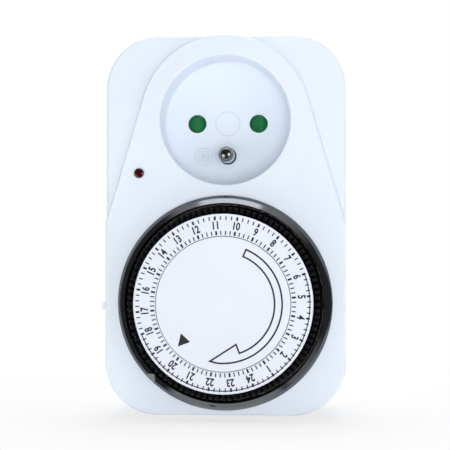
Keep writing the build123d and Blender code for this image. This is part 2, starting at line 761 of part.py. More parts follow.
with BuildPart() as shutter_guide:
    low, high = -track - guide_rail, channel_high + guide_rail
    end = guide_end + guide_rail
    bar(guide_back_h, guide_top_h, -end, end, low, high)
    bar(guide_top_h, floor_back_h, -end, end, low, -track)
    bar(guide_top_h, floor_back_h, -end, end, channel_high, high)
    bar(guide_top_h, floor_back_h, -end, lug_left - slider_gap, track, channel_low)
    bar(guide_top_h, floor_back_h, lug_right + shutter_travel + slider_gap, end, track, channel_low)
    for side in (-1, 1):
        end_x = sorted((side * guide_end, side * end))
        bar(guide_top_h, floor_back_h, *end_x, low, high)
    for x, z in guide_screw_spots:
        disc(guide_back_h, floor_back_h, boss_radius, (x, z))
        bar(guide_back_h, floor_back_h, x - boss_radius, x + boss_radius, z, -track)
    for spot in guide_screw_spots:
        disc(guide_back_h, floor_back_h, screw_radius + screw_gap, spot, Mode.SUBTRACT)
    for spot in pole_spots:
        disc(guide_back_h, guide_top_h, guide_hole_radius, spot, Mode.SUBTRACT)
save(shutter_guide, "shutter_guide")


def coil(radius, length, turns, origin, direction):
    """A closed coil spring of round wire, along a direction."""
    centre_line = Helix(pitch=length / turns, height=length, radius=radius)
    base = Plane(origin=origin, z_dir=direction)
    path = base.location * centre_line
    with BuildSketch(Plane(origin=path @ 0, z_dir=path % 0)) as wire:
        Circle(spring_wire / 2)
    sweep(wire.sketch, path=path, is_frenet=True)


with BuildPart() as shutter_spring:
    spring_start = lug_right + spring_wire
    spring_end = guide_end - spring_wire
    coil(shutter_spring_radius, spring_end - spring_start, shutter_spring_turns,
         (spring_start, -shutter_mid_h, spring_z), (1, 0, 0))
save(shutter_spring, "shutter_spring")

# ---- Dial --------------------------------------------------------------------------------
dial_axis = Axis((0, 0, dial_z), (0, 1, 0))
drum_radius = dial_radius - disc_gap
drum_inner = drum_radius - drum_wall
post_top_h = dial_top_h - disc_thickness
disc_boss_h = post_top_h - skirt_length
hub_radius = post_radius + running_gap + hub_wall
number_bore = centre_disc_radius + disc_gap


def turned(section, mode=Mode.ADD):
    """A ring turned about the dial's axis from a section of (radius, height) points."""
    with BuildSketch(Plane.XY.offset(dial_z)) as profile:
        with BuildLine():
            Polyline(*[(radius, -height) for radius, height in section], close=True)
        make_face()
    revolve(profile.sketch, axis=dial_axis, mode=mode)


with BuildPart() as bezel_ring:
    lip_h = front_h + bezel_lip
    break_h = lip_h + bezel_steep_fall
    crest_h = break_h + bezel_gentle_fall
    turned([(bezel_bore, bezel_back_h), (bezel_neck_radius, bezel_back_h), (bezel_neck_radius, front_h),
            (bezel_radius, front_h), (bezel_radius, lip_h), (bezel_break_radius, break_h),
            (bezel_bore + bezel_edge, crest_h), (bezel_bore, crest_h - bezel_edge)])
    # index mark, a small raised arrowhead that points to the time, and a drain slot
    mark_half = index_length / 2
    with BuildSketch(level(front_h)) as mark:
        with Locations(dial_centre):
            with PolarLocations(bezel_bore + mark_half, 1, start_angle=index_angle):
                Polygon((-mark_half, 0), (index_point - mark_half, -index_width / 2),
                        (mark_half, -index_width / 2), (mark_half, index_width / 2),
                        (index_point - mark_half, index_width / 2), align=None)
    extrude(mark.sketch, amount=crest_h + index_proud - front_h)
    with BuildSketch(level(lip_h)) as drain:
        with Locations(dial_centre):
            with PolarLocations(bezel_bore + bezel_slot_offset, 1, start_angle=bezel_slot_angle):
                SlotOverall(bezel_slot_length, bezel_slot_width, rotation=90)
    extrude(drain.sketch, amount=crest_h - lip_h, mode=Mode.SUBTRACT)
save(bezel_ring, "bezel_ring")

with BuildPart() as number_ring:
    skirt_outer = drum_inner - skirt_gap
    skirt_inner = skirt_outer - skirt_thickness
    skirt_back_h = post_top_h - skirt_length
    turned([(number_bore, post_top_h), (number_bore, dial_top_h - disc_edge),
            (number_bore + disc_edge, dial_top_h), (dial_radius - dial_edge, dial_top_h),
            (dial_radius, dial_top_h - dial_edge), (dial_radius, post_top_h),
            (skirt_outer, post_top_h), (skirt_outer, skirt_back_h),
            (skirt_inner, skirt_back_h), (skirt_inner, post_top_h)])
save(number_ring, "number_ring")

with BuildPart() as centre_disc:
    disc(post_top_h, dial_top_h, centre_disc_radius, dial_centre)
    chamfer(centre_disc.faces().sort_by(Axis.Y)[0].edges(), disc_edge)
    disc(disc_boss_h, post_top_h, post_radius + disc_boss_wall, dial_centre)
    disc(disc_boss_h, post_top_h, post_radius + running_gap, dial_centre, Mode.SUBTRACT)
save(centre_disc, "centre_disc")

with BuildPart() as dial_post:
    disc(mechanism_back_h, mechanism_h, post_spigot_radius, dial_centre)
    disc(mechanism_h, mechanism_h + post_collar_height, post_radius + post_collar_width, dial_centre)
    disc(mechanism_h, post_top_h, post_radius, dial_centre)
save(dial_post, "dial_post")

tappet_pitch = 360 / tappets
first_tappet = hour_ten_angle - 10 * 360 / 24 + tappet_pitch / 2

with BuildPart() as dial_drum:
    gear(drum_gear_h, flange_back_h, drum_teeth, dial_centre, train_angle)
    gear_bore = gear_module * (drum_teeth / 2 - dedendum) - drum_gear_wall
    disc(drum_gear_h, flange_back_h, gear_bore, dial_centre, Mode.SUBTRACT)
    disc(flange_back_h, flange_top_h, flange_radius, dial_centre)
    ring(flange_top_h, post_top_h, drum_radius, drum_inner, dial_centre)
    disc(mechanism_h + post_collar_height + disc_gap, disc_boss_h - disc_gap, hub_radius, dial_centre)
    disc(mechanism_h, dial_top_h, post_radius + running_gap, dial_centre, Mode.SUBTRACT)
    with BuildSketch(level(flange_back_h)) as slots:
        with Locations(dial_centre):
            with PolarLocations(nose_radius, tappets, start_angle=first_tappet):
                Rectangle(tail_depth + 2 * slot_gap, tail_width + 2 * slot_gap)
    extrude(slots.sketch, amount=flange_thickness, mode=Mode.SUBTRACT)
save(dial_drum, "dial_drum")

# ---- Tappets, a quarter of the day at a time ---------------------------------------------
quarter_span = 360 / tappet_quarters
quarter_tappets = tappets // tappet_quarters
head_back_h = flange_top_h + tappet_travel + tappet_room
head_tip_h = dial_top_h - tappet_tip_drop
head_top_h = head_tip_h - tappet_point


def blades(start, height, quarter, depth, width, taper=0):
    """The same block on each tappet of one quarter."""
    with BuildSketch(level(start)) as profile:
        with Locations(dial_centre):
            with PolarLocations(nose_radius, quarter_tappets,
                                start_angle=first_tappet + quarter * quarter_span,
                                angular_range=quarter_span):
                Rectangle(depth, width)
    extrude(profile.sketch, amount=height, taper=taper)


for quarter in range(tappet_quarters):
    first_hour = 24 * quarter // tappet_quarters
    last_hour = 24 * (quarter + 1) // tappet_quarters
    with BuildPart() as tappet_set:
        blades(tail_end_h, head_back_h - tail_end_h, quarter, tail_depth, tail_width)
        blades(head_back_h, head_top_h - head_back_h, quarter, tappet_depth, tappet_width)
        blades(head_top_h, tappet_point, quarter, tappet_depth, tappet_width, tappet_taper)
    save(tappet_set, f"tappets_{first_hour:02}_{last_hour:02}")

# ---- Gear train --------------------------------------------------------------------------
idler_distance = gear_module * (drum_teeth + pinion_teeth) / 2
idler_spot = along(train_angle, idler_distance, dial_centre)
motor_distance = gear_module * (idler_wheel_teeth + pinion_teeth) / 2
motor_shaft_spot = along(train_angle + 180, motor_distance, idler_spot)
half_tooth = 180 / pinion_teeth
wheel_h = mechanism_h + idler_boss_height + wheel_gap
wheel_top_h = wheel_h + wheel_height
idler_top_h = flange_back_h - idler_end_gap
motor_centre = (0, dial_z - motor_drop)
motor_ears = [(-motor_ear_reach, motor_centre[1]), (motor_ear_reach, motor_centre[1])]

with BuildPart() as idler_gear:
    gear(wheel_h, wheel_top_h, idler_wheel_teeth, idler_spot, train_angle + 180)
    gear(wheel_top_h, idler_top_h, pinion_teeth, idler_spot, train_angle + 180 + half_tooth)
    disc(wheel_h, flange_back_h, idler_shaft_radius + running_gap, idler_spot, Mode.SUBTRACT)
save(idler_gear, "idler_gear")

with BuildPart() as idler_shaft:
    disc(mechanism_back_h, idler_top_h + idler_shaft_stub, idler_shaft_radius, idler_spot)
save(idler_shaft, "idler_shaft")

with BuildPart() as motor_pinion:
    disc(motor_lid_h - motor_shaft_depth, wheel_h - pinion_overlap, motor_shaft_radius, motor_shaft_spot)
    gear(wheel_h - pinion_overlap, wheel_top_h + pinion_overlap, pinion_teeth, motor_shaft_spot,
         train_angle + half_tooth)
save(motor_pinion, "motor_pinion")

# ---- Motor -------------------------------------------------------------------------------
with BuildPart() as motor_can:
    disc(motor_floor_h, motor_lid_h, motor_radius, motor_centre)
    fillet(motor_can.faces().sort_by(Axis.Y)[-1].edges(), motor_steel)
    disc(motor_floor_h + motor_steel, motor_lid_h, motor_radius - motor_steel, motor_centre, Mode.SUBTRACT)
save(motor_can, "motor_can")

with BuildPart() as motor_lid:
    disc(motor_lid_h, motor_top_h, motor_radius, motor_centre)
    bar(motor_lid_h, motor_top_h, -motor_ear_reach, motor_ear_reach, motor_centre[1] - motor_ear_radius,
        motor_centre[1] + motor_ear_radius)
    for ear in motor_ears:
        disc(motor_lid_h, motor_top_h, motor_ear_radius, ear)
    for ear in motor_ears:
        disc(motor_lid_h, motor_top_h, screw_radius + screw_gap, ear, Mode.SUBTRACT)
    disc(motor_lid_h, motor_top_h, motor_shaft_radius + running_gap, motor_shaft_spot, Mode.SUBTRACT)
save(motor_lid, "motor_lid")

with BuildPart() as motor_coil:
    coil_outer = motor_radius - motor_steel - coil_gap
    ring(motor_floor_h + motor_steel, motor_lid_h - coil_end_gap, coil_outer, coil_inner_radius,
         motor_centre)
save(motor_coil, "motor_coil")

# ---- Mechanism plate with lever bearings --------------------------------------------------
lever_low, lever_high = nose_z - lever_width / 2, nose_z + lever_width / 2
ears_z = [(lever_low - lever_side_gap - ear_thickness, lever_low - lever_side_gap),
          (lever_high + spring_room, lever_high + spring_room + ear_thickness)]


def upright(low, high, x, height, radius, mode=Mode.ADD):
    """A round prism that stands along Z."""
    with BuildSketch(Plane.XY.offset(low)) as profile:
        with Locations((x, -height)):
            Circle(radius)
    extrude(profile.sketch, amount=high - low, mode=mode)


slider_inner_x = wall - side_x - slider_depth * tan(radians(side_draft))

with BuildPart() as mechanism_plate:
    extrude(casing_outline(mechanism_back_h, wall + mechanism_margin), amount=mechanism_thickness)
    bar(mechanism_back_h, mechanism_h, -casing_width, casing_width, mechanism_top, casing_height,
        Mode.SUBTRACT)
    disc(mechanism_h, mechanism_h + idler_boss_height, idler_shaft_radius + idler_boss_wall, idler_spot)
    for ear in motor_ears:
        disc(mechanism_h, mechanism_h + motor_boss_height, motor_boss_radius, ear)
    for low, high in ears_z:
        bar(mechanism_h, pivot_h + ear_half, pivot_x - ear_half, pivot_x + ear_half, low, high)
    # holes
    for spot in housing_screw_spots:
        disc(mechanism_back_h, mechanism_h, boss_radius + boss_gap, spot, Mode.SUBTRACT)
    for spot in plate_screw_spots:
        disc(mechanism_back_h, mechanism_h, screw_radius + screw_gap, spot, Mode.SUBTRACT)
    for ear in motor_ears:
        disc(mechanism_back_h, mechanism_h + motor_boss_height, screw_radius + screw_gap, ear,
             Mode.SUBTRACT)
    disc(mechanism_back_h, mechanism_h, post_spigot_radius + screw_gap, dial_centre, Mode.SUBTRACT)
    disc(mechanism_back_h, wheel_h, idler_shaft_radius + screw_gap, idler_spot, Mode.SUBTRACT)
    disc(mechanism_back_h, mechanism_h, motor_shaft_radius + motor_shaft_gap, motor_shaft_spot,
         Mode.SUBTRACT)
    # window for the follower's arm, and a notch for the override slider
    bar(mechanism_back_h, mechanism_h, pivot_x - arm_window_left, pivot_x + arm_window_right,
        lever_low - arm_window_gap, lever_high + arm_window_gap, Mode.SUBTRACT)
    bar(mechanism_back_h, mechanism_h, -casing_width, slider_inner_x + slider_notch_depth,
        dial_z - slider_notch_half, dial_z + slider_notch_half, Mode.SUBTRACT)
    upright(ears_z[0][0], ears_z[1][1], pivot_x, pivot_h, lever_pin_radius + screw_gap, Mode.SUBTRACT)
save(mechanism_plate, "mechanism_plate")

# ---- Follower lever, its pin and its spring ----------------------------------------------
with BuildPart() as follower_lever:
    with BuildSketch(Plane.XY.offset(lever_low)) as crank:
        with Locations((pivot_x, -pivot_h)):
            Circle(lever_pin_radius + lever_hub_wall)
        with Locations(((pivot_x + nose_x) / 2, -pivot_h)):
            Rectangle(lever_arm, 2 * lever_half_thickness)
        with BuildLine():
            Polyline((nose_x - nose_half, -pivot_h), (nose_x - nose_tip_half, -nose_top_h),
                     (nose_x + nose_tip_half, -nose_top_h), (nose_x + nose_half, -pivot_h),
                     (nose_x + nose_half, lever_half_thickness - pivot_h),
                     (nose_x - nose_half, lever_half_thickness - pivot_h), close=True)
        make_face()
        with Locations((pivot_x, -pivot_h + lever_reach / 2)):
            Rectangle(2 * arm_half, lever_reach)
        with Locations((pivot_x, -pivot_h)):
            Circle(lever_pin_radius + running_gap, mode=Mode.SUBTRACT)
    extrude(crank.sketch, amount=lever_width)
save(follower_lever, "follower_lever")

with BuildPart() as lever_pin:
    upright(ears_z[0][0], ears_z[1][1], pivot_x, pivot_h, lever_pin_radius)
save(lever_pin, "lever_pin")

with BuildPart() as lever_spring:
    coil(lever_pin_radius + spring_end_gap, spring_room - 2 * spring_end_gap, lever_spring_turns,
         (pivot_x, -pivot_h, lever_high + spring_end_gap), (0, 0, 1))
save(lever_spring, "lever_spring")

# ---- Override slider, resting in its lower place -----------------------------------------
slider_z = dial_z - slider_travel / 2
slider_half = (slot_high - slot_low) / 2 + slider_travel / 2 + slider_cover
slider_side = slot_half_width + slider_cover
flange_x = slider_inner_x + slider_wall_gap
arm_x = flange_x + slider_plate
finger_x = leaf_face_x + leaf_gap + finger_gap
arm_back_h = leaf_top_h + finger_gap
finger_low, finger_high = slider_z - finger_width / 2, slider_z + finger_width / 2

with BuildPart() as override_slider:
    bar(slider_h - slider_side, slider_h + slider_side, flange_x, arm_x, slider_z - slider_half,
        slider_z + slider_half)
    knob_tip_x = slider_inner_x - wall - knob_reach
    bar(slider_h - knob_width / 2, slider_h + knob_width / 2, knob_tip_x, flange_x,
        slider_z - knob_half, slider_z + knob_half)
    fillet(override_slider.faces().sort_by(Axis.X)[0].edges(), knob_round)
    bar(arm_back_h, slider_h, arm_x, arm_x + slider_arm, finger_low, finger_high)
    bar(arm_back_h, arm_back_h + slider_arm, arm_x, finger_x + slider_arm, finger_low, finger_high)
    bar(leaf_back_h, arm_back_h + slider_arm, finger_x, finger_x + slider_arm, finger_low, finger_high)
save(override_slider, "override_slider")

# ---- Indicator ---------------------------------------------------------------------------
lens_back_h = inner_front_h - lens_flange_height
lamp_top_h = lens_back_h - lamp_gap
resistor_x = resistor_inset - side_x
resistor_h = mechanism_back_h - resistor_gap - resistor_radius

with BuildPart() as indicator_lens:
    disc(lens_back_h, inner_front_h, lens_flange_radius, lens_place)
    disc(inner_front_h, front_h + lens_rise, lens_radius, lens_place)
    fillet(indicator_lens.faces().sort_by(Axis.Y)[0].edges(), 0.7 * lens_rise)
save(indicator_lens, "indicator_lens")

with BuildPart() as indicator_lamp:
    disc(lamp_top_h - lamp_length, lamp_top_h, lamp_radius, lens_place)
    fillet(indicator_lamp.faces().sort_by(Axis.Y)[0].edges(), 0.8 * lamp_radius)
save(indicator_lamp, "indicator_lamp")

with BuildPart() as lamp_resistor:
    upright(resistor_z - resistor_length / 2, resistor_z + resistor_length / 2, resistor_x, resistor_h,
            resistor_radius)
save(lamp_resistor, "lamp_resistor")


# ---- Screws, all driven from behind ------------------------------------------------------
def screws(seat_h, tip_h, spots, name):
    """A group of cross-head screws with their heads behind a seat."""
    with BuildPart() as group:
        for spot in spots:
            disc(seat_h - screw_head_height, seat_h, screw_head_radius, spot)
            disc(seat_h, tip_h, screw_radius, spot)
        for x, z in spots:
            for half_x, half_z in ((cross_length / 2, cross_width / 2), (cross_width / 2, cross_length / 2)):
                bar(seat_h - screw_head_height, seat_h - screw_head_height + cross_depth, x - half_x,
                    x + half_x, z - half_z, z + half_z, Mode.SUBTRACT)
    save(group, name)


screws(rear_h + head_recess, rear_h + head_recess + housing_screw_length, housing_screw_spots,
       "housing_screws")
screws(mechanism_back_h, mechanism_back_h + plate_screw_length, plate_screw_spots, "plate_screws")
screws(motor_lid_h, motor_lid_h + motor_screw_length, motor_ears, "motor_screws")
screws(guide_back_h, floor_back_h + guide_screw_bite, guide_screw_spots, "guide_screws")
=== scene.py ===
import json
from math import cos, pi, radians, sin

import bmesh
import bpy
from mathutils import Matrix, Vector


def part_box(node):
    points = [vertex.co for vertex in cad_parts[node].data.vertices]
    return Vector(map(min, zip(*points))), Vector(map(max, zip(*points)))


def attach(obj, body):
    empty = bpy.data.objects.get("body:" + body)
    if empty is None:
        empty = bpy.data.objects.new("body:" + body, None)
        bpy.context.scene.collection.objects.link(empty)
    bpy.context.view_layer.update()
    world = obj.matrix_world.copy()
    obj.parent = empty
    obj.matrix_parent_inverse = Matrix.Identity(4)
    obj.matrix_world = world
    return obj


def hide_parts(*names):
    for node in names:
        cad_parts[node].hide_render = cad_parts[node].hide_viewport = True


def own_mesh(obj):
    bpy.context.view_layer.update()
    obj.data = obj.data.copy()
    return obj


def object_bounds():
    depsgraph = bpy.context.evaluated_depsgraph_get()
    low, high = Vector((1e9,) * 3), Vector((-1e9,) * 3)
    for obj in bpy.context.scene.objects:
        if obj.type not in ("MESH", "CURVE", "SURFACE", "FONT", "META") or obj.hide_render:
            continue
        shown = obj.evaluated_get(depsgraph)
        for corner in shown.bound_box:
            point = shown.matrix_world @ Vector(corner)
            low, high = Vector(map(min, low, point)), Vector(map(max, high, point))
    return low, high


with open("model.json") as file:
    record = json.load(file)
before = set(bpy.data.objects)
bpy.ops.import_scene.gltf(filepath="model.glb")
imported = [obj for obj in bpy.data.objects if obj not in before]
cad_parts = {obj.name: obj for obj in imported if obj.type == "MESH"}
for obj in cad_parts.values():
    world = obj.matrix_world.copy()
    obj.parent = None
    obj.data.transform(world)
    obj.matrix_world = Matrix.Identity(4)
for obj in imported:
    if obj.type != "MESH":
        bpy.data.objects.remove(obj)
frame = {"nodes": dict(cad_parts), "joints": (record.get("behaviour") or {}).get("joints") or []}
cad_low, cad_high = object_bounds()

mm = 0.001
joints = {joint["name"]: joint for joint in frame["joints"]}

# ---- Places read from the frame ----------------------------------------------------------
dial_x = joints["dial_turn"]["pos_m"][0]
dial_z = joints["dial_turn"]["pos_m"][2]
dial_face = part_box("number_ring")[0].y
socket_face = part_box("socket_floor")[0].y
bezel_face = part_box("bezel_ring")[0].y

# ---- Camera ------------------------------------------------------------------------------
camera_place = (26.8 * mm, -498.5 * mm, -38.0 * mm)
camera_yaw, camera_pitch = -3.459, 0.833  # degrees, towards +X and upwards
sensor_width, focal_length = 36.0, 118.8  # in mm
near_clip = 0.01


def add_camera():
    """The view of the front, from a little right of and below the socket."""
    yaw, pitch = radians(camera_yaw), radians(camera_pitch)
    data = bpy.data.cameras.new("camera")
    data.sensor_width = sensor_width
    data.lens = focal_length
    data.clip_start = near_clip
    camera = bpy.data.objects.new("camera", data)
    camera.location = camera_place
    forward = Vector((sin(yaw) * cos(pitch), cos(yaw) * cos(pitch), sin(pitch)))
    camera.rotation_euler = forward.to_track_quat("-Z", "Y").to_euler()
    bpy.context.scene.collection.objects.link(camera)
    bpy.context.scene.camera = camera


# ---- Materials ---------------------------------------------------------------------------
def new_material(name):
    """A material with a Principled shader and its node tree."""
    made = bpy.data.materials.new(name)
    made.use_nodes = True
    tree = made.node_tree
    return made, tree, tree.nodes["Principled BSDF"]


def place(tree):
    """The object coordinates, in metres, that every pattern is laid out in."""
    return tree.nodes.new("ShaderNodeTexCoord").outputs["Object"]


def noise(tree, scale, detail=3.0, stretch=(1, 1, 1)):
    """A noise value from 0 to 1, with features of about 1 / scale metres."""
    mapping = tree.nodes.new("ShaderNodeMapping")
    mapping.inputs["Scale"].default_value = stretch
    tree.links.new(place(tree), mapping.inputs["Vector"])
    texture = tree.nodes.new("ShaderNodeTexNoise")
    texture.inputs["Scale"].default_value = scale
    texture.inputs["Detail"].default_value = detail
    tree.links.new(mapping.outputs["Vector"], texture.inputs["Vector"])
    return texture.outputs["Fac"]


def between(tree, factor, low, high, start=0.3, end=0.7):
    """A value or colour that goes from low to high as the factor goes from start to end."""
    ramp = tree.nodes.new("ShaderNodeValToRGB")
    ramp.color_ramp.elements[0].position = start
    ramp.color_ramp.elements[1].position = end
    for element, value in zip(ramp.color_ramp.elements, (low, high)):
        element.color = (*value, 1.0) if isinstance(value, tuple) else (value, value, value, 1.0)
    tree.links.new(factor, ramp.inputs["Fac"])
    return ramp.outputs["Color"]


def bump(tree, shader, height, distance, strength=1.0):
    """Relief of a given depth, in metres, on the shader's normal."""
    node = tree.nodes.new("ShaderNodeBump")
    node.inputs["Distance"].default_value = distance
    node.inputs["Strength"].default_value = strength
    tree.links.new(height, node.inputs["Height"])
    tree.links.new(node.outputs["Normal"], shader.inputs["Normal"])


def shade(colour, factor):
    """The colour made darker or lighter by a factor."""
    return tuple(channel * factor for channel in colour)


def axes(tree, vector):
    """The X, Y and Z of a vector socket."""
    split = tree.nodes.new("ShaderNodeSeparateXYZ")
    tree.links.new(vector, split.inputs["Vector"])
    return split.outputs["X"], split.outputs["Y"], split.outputs["Z"]


def combine(tree, operation, first, second):
    """A math node on two sockets, or on a socket and a number."""
    node = tree.nodes.new("ShaderNodeMath")
    node.operation = operation
    tree.links.new(first, node.inputs[0])
    if isinstance(second, (int, float)):
        node.inputs[1].default_value = second
    else:
        tree.links.new(second, node.inputs[1])
    return node.outputs["Value"]


def fade(tree, value, start, end):
    """0 where the value is at start or beyond, rising smoothly to 1 at end."""
    node = tree.nodes.new("ShaderNodeMapRange")
    node.interpolation_type = "SMOOTHSTEP"
    node.inputs["From Min"].default_value = start
    node.inputs["From Max"].default_value = end
    tree.links.new(value, node.inputs["Value"])
    return node.outputs["Result"]


def plastic(name, colour, roughness, grain=2600.0, depth=4e-6, tone=0.02, ior=1.5, tint=None,
            raised=None):
    """Moulded plastic: a spark-eroded grain, faint flow marks in the tone and an uneven gloss.
    With tint, a colour, that is the colour of its gloss seen straight on. With raised, a colour
    and a depth y, everything in front of that depth takes the colour; here it gives painted shade to the
    socket's marks and a painted reflection to the bezel's index mark."""
    made, tree, shader = new_material(name)
    flow = noise(tree, 28.0, 2.0)
    colours = between(tree, flow, shade(colour, 1 - tone), shade(colour, 1 + tone))
    if tint:
        shader.inputs["Specular Tint"].default_value = (*tint, 1.0)
    if raised:
        painted_top_colour, depth_y = raised
        _, y, _ = axes(tree, place(tree))
        mix = tree.nodes.new("ShaderNodeMix")
        mix.data_type = "RGBA"
        tree.links.new(combine(tree, "LESS_THAN", y, depth_y), mix.inputs["Factor"])
        tree.links.new(colours, mix.inputs["A"])
        mix.inputs["B"].default_value = (*painted_top_colour, 1.0)
        colours = mix.outputs["Result"]
    tree.links.new(colours, shader.inputs["Base Color"])
    handling = noise(tree, 160.0, 4.0)
    tree.links.new(between(tree, handling, roughness * 0.88, roughness * 1.12), shader.inputs["Roughness"])
    shader.inputs["IOR"].default_value = ior
    bump(tree, shader, noise(tree, grain, 2.0), depth)
    return made


def metal(name, colour, roughness, grain=1800.0, stretch=(1, 1, 1), depth=2e-6, tarnish=0.12):
    """Metal with fine drawing or turning lines and slightly uneven tarnish."""
    made, tree, shader = new_material(name)
    shader.inputs["Metallic"].default_value = 1.0
    cloud = noise(tree, 240.0, 4.0)
    tree.links.new(between(tree, cloud, shade(colour, 1 - tarnish), colour), shader.inputs["Base Color"])
    lines = noise(tree, grain, 3.0, stretch)
    tree.links.new(between(tree, lines, roughness * 0.8, roughness * 1.25), shader.inputs["Roughness"])
    bump(tree, shader, lines, depth)
    return made


wave_scale = 0.31  # at which a wave texture's bands lie about a metre apart


def winding(name, colour, pitch):
    """Enamelled wire laid in turns: fine bands along Y, about a pitch apart, with painted shade darkening
    the grooves between the turns.
    """
    made, tree, shader = new_material(name)
    shader.inputs["Metallic"].default_value = 0.85
    wave = tree.nodes.new("ShaderNodeTexWave")
    wave.bands_direction = "Y"
    wave.inputs["Scale"].default_value = wave_scale / pitch
    wave.inputs["Distortion"].default_value = 0.4
    tree.links.new(place(tree), wave.inputs["Vector"])
    tree.links.new(between(tree, wave.outputs["Fac"], shade(colour, 0.45), colour, 0.1, 0.8),
                   shader.inputs["Base Color"])
    shader.inputs["Roughness"].default_value = 0.35
    bump(tree, shader, wave.outputs["Fac"], pitch / 2)
    return made


def lens_plastic(name):
    """Dark red translucent plastic with small facets inside."""
    made, tree, shader = new_material(name)
    cells = tree.nodes.new("ShaderNodeTexVoronoi")
    cells.inputs["Scale"].default_value = 900.0
    tree.links.new(place(tree), cells.inputs["Vector"])
    red, dark_red = (0.16, 0.006, 0.008), (0.022, 0.001, 0.002)
    tree.links.new(between(tree, cells.outputs["Distance"], red, dark_red, 0.0, 0.6),
                   shader.inputs["Base Color"])
    shader.inputs["Roughness"].default_value = 0.08
    shader.inputs["IOR"].default_value = 1.58
    shader.inputs["Coat Weight"].default_value = 1.0
    bump(tree, shader, cells.outputs["Distance"], 5e-7)
    return made


def lamp_glass(name):
    """Thin glass over a small neon lamp's electrodes."""
    made, tree, shader = new_material(name)
    smoke = noise(tree, 500.0)
    tree.links.new(between(tree, smoke, (0.75, 0.70, 0.66), (0.9, 0.88, 0.86)), shader.inputs["Base Color"])
    shader.inputs["Roughness"].default_value = 0.05
    shader.inputs["Transmission Weight"].default_value = 0.6
    return made


band_width = 0.08  # of a resistor's length


def banded(name, colour, bands):
    """A resistor's lacquer with its colour bands along Z. Bands are (place, colour) pairs, with
    the place as a share of its length."""
    made, tree, shader = new_material(name)
    low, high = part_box("lamp_resistor")
    _, _, z = axes(tree, place(tree))
    span = tree.nodes.new("ShaderNodeMapRange")
    span.inputs["From Min"].default_value = low.z
    span.inputs["From Max"].default_value = high.z
    tree.links.new(z, span.inputs["Value"])
    ramp = tree.nodes.new("ShaderNodeValToRGB")
    ramp.color_ramp.interpolation = "CONSTANT"
    ramp.color_ramp.elements[0].color = (*colour, 1.0)
    ramp.color_ramp.elements.remove(ramp.color_ramp.elements[1])
    for position, band in bands:
        ramp.color_ramp.elements.new(position).color = (*band, 1.0)
        ramp.color_ramp.elements.new(position + band_width).color = (*colour, 1.0)
    tree.links.new(span.outputs["Result"], ramp.inputs["Fac"])
    tree.links.new(ramp.outputs["Color"], shader.inputs["Base Color"])
    shader.inputs["Roughness"].default_value = 0.35
    return made


casing_white = plastic("casing_white", (0.80, 0.865, 0.955), 0.34)
# the marks moulded on the socket's floor stand proud of it, and painted shade makes them a little darker, in
# place of the shading round their relief
socket_white = plastic("socket_white", (0.80, 0.865, 0.955), 0.34,
                       raised=((0.69, 0.74, 0.83), socket_face + 0.05 * mm))
dial_white = plastic("dial_white", (0.79, 0.825, 0.91), 0.42, grain=3400.0, depth=2e-6)
# the index mark stands proud of the ring, and its face is painted grey, a painted reflection of the light
# that its flat top catches
bezel_black = plastic("bezel_black", (0.008, 0.008, 0.009), 0.13, grain=900.0, depth=1e-6, ior=2.1,
                      tint=(0.86, 0.92, 1.0), raised=((0.25, 0.255, 0.265), bezel_face + 0.02 * mm))
tappet_black = plastic("tappet_black", (0.008, 0.008, 0.009), 0.6, ior=1.15)
inner_black = plastic("inner_black", (0.02, 0.02, 0.022), 0.45)
shutter_green = plastic("shutter_green", (0.012, 0.185, 0.055), 0.28)
gear_white = plastic("gear_white", (0.70, 0.68, 0.62), 0.45)
ink = plastic("ink", (0.012, 0.012, 0.013), 0.55, grain=5000.0, depth=1e-6)
ink_grey = plastic("ink_grey", (0.022, 0.022, 0.024), 0.55, grain=5000.0, depth=1e-6)
nickel = metal("nickel", (0.60, 0.57, 0.53), 0.14, grain=900.0, stretch=(0.2, 4, 0.2), depth=5e-7)
# painted shade: a darker copy of the plug pins' nickel, for the earth pin deep in the socket's recess
shaded_nickel = metal("shaded_nickel", (0.35, 0.34, 0.325), 0.14, grain=900.0, stretch=(0.2, 4, 0.2),
                     depth=5e-7)
brass = metal("brass", (0.72, 0.52, 0.22), 0.3, stretch=(0.3, 0.3, 3))
steel = metal("steel", (0.56, 0.57, 0.60), 0.32, stretch=(3, 0.4, 0.4))
spring_wire = metal("spring_wire", (0.34, 0.34, 0.36), 0.25)
copper = winding("copper", (0.62, 0.22, 0.08), 0.35 * mm)
red_lens = lens_plastic("red_lens")
glass = lamp_glass("glass")
resistor = banded("resistor", (0.55, 0.42, 0.25), [(0.2, (0.25, 0.02, 0.01)), (0.36, (0.02, 0.02, 0.02)),
                                                   (0.52, (0.55, 0.35, 0.02)), (0.78, (0.5, 0.36, 0.1))])

node_materials = {
    casing_white: ["front_cover", "rear_cover", "plug_body", "socket_well", "override_slider"],
    socket_white: ["socket_floor"],
    dial_white: ["number_ring", "centre_disc"],
    bezel_black: ["bezel_ring"],
    tappet_black: ["dial_drum", "tappets_00_06", "tappets_06_12", "tappets_12_18", "tappets_18_24"],
    inner_black: ["shutter_guide"],
    shutter_green: ["safety_shutter"],
    gear_white: ["mechanism_plate", "follower_lever", "idler_gear"],
    shaded_nickel: ["earth_pin"],
    nickel: ["plug_pin_left", "plug_pin_right", "fixed_contact", "moving_contact"],
    brass: ["earth_sleeve", "earth_strap", "live_contact", "neutral_contact", "live_feed",
            "contact_leaf", "motor_pinion"],
    steel: ["idler_shaft", "dial_post", "lever_pin", "motor_can", "motor_lid", "housing_screws",
            "plate_screws", "motor_screws", "guide_screws"],
    spring_wire: ["shutter_spring", "lever_spring"],
    copper: ["motor_coil"],
    red_lens: ["indicator_lens"],
    glass: ["indicator_lamp"],
    resistor: ["lamp_resistor"],
}


def dress_nodes():
    """Give every CAD node its material."""
    for made, names in node_materials.items():
        for name in names:
            slots = frame["nodes"][name].data.materials
            slots.clear()
            slots.append(made)


